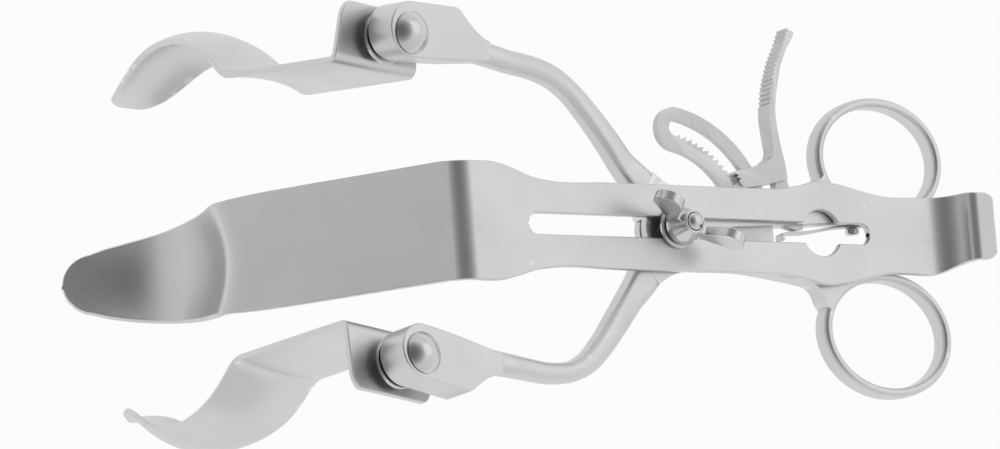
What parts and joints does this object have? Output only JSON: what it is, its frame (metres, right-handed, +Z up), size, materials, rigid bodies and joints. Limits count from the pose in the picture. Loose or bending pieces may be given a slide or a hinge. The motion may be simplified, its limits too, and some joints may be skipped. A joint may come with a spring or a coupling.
{
  "type": "rectal retractor",
  "caption": "Rectal retractor with ring-handled hinged arms, swivelling side blades, a ratchet lever and a slotted centre blade held by a wing nut.",
  "frame": {"origin": "on the ground under the middle of the instrument, which stands on its lowest blade tip and on both finger rings", "axes": "+X from the blade tip towards the finger rings, +Y towards the arm that carries the ratchet lever, +Z up"},
  "size_m": [0.1934, 0.084, 0.0762],
  "materials": {
    "satin_plate_steel": "satin stainless sheet with a fine lengthwise grain",
    "satin_forged_steel": "satin forged stainless steel",
    "satin_blade_steel": "satin stainless sheet",
    "bright_fitting_steel": "polished stainless fittings",
    "ground_ratchet_steel": "ground stainless steel",
    "spring_steel": "plain spring steel"
  },
  "bodies": {
    "blade": {"centre_blade": "satin_plate_steel"},
    "carriage": {"clamp_washer": "bright_fitting_steel", "pivot_stud": "bright_fitting_steel"},
    "nut": {"wing_nut": "bright_fitting_steel"},
    "upper": {"upper_arm": "satin_forged_steel", "upper_blade_rivet": "bright_fitting_steel", "upper_blade_nut": "bright_fitting_steel", "lever_pin": "bright_fitting_steel", "leaf_spring": "spring_steel", "spring_screw": "bright_fitting_steel"},
    "lower": {"lower_arm": "satin_forged_steel", "lower_blade_rivet": "bright_fitting_steel", "lower_blade_nut": "bright_fitting_steel", "ratchet_bar": "ground_ratchet_steel", "bar_rivet_1": "bright_fitting_steel", "bar_rivet_2": "bright_fitting_steel"},
    "upper_blade": {"upper_side_blade": "satin_blade_steel", "upper_blade_washer": "bright_fitting_steel"},
    "lower_blade": {"lower_side_blade": "satin_blade_steel", "lower_blade_washer": "bright_fitting_steel"},
    "lever": {"ratchet_lever": "ground_ratchet_steel"}
  },
  "joints": [
    {"name": "blade_slide", "type": "slide", "parent": "blade", "child": "carriage", "axis": [0.8985, 0.0384, -0.4374], "range_m": [-0.024, 0.042]},
    {"name": "wing_nut_turn", "type": "hinge", "parent": "carriage", "child": "nut", "pos_m": [0.02619, -0.00246, 0.0357], "axis": [0.4377, 0, 0.8991], "range_deg": [0, 360]},
    {"name": "upper_arm_swing", "type": "hinge", "parent": "carriage", "child": "upper", "pos_m": [0.02619, -0.00246, 0.0357], "axis": [0.4377, 0, 0.8991], "range_deg": [-2.2, 8.5]},
    {"name": "lower_arm_swing", "type": "hinge", "parent": "carriage", "child": "lower", "pos_m": [0.02619, -0.00246, 0.0357], "axis": [0.4377, 0, 0.8991], "range_deg": [-4, 2.2]},
    {"name": "upper_blade_swivel", "type": "hinge", "parent": "upper", "child": "upper_blade", "pos_m": [-0.02977, 0.03054, 0.07292], "axis": [0.5934, -0.0872, 0.8002], "range_deg": [-15, 15]},
    {"name": "lower_blade_swivel", "type": "hinge", "parent": "lower", "child": "lower_blade", "pos_m": [-0.03018, -0.03366, 0.07322], "axis": [0.5934, 0.0872, 0.8002], "range_deg": [-15, 15]},
    {"name": "lever_release", "type": "hinge", "parent": "upper", "child": "lever", "pos_m": [0.0519, 0.00304, 0.02318], "axis": [0.4377, 0, 0.8991], "range_deg": [-6, 0], "stiffness_Nm_per_rad": 0.25, "springref_deg": 4.58}
  ]
}
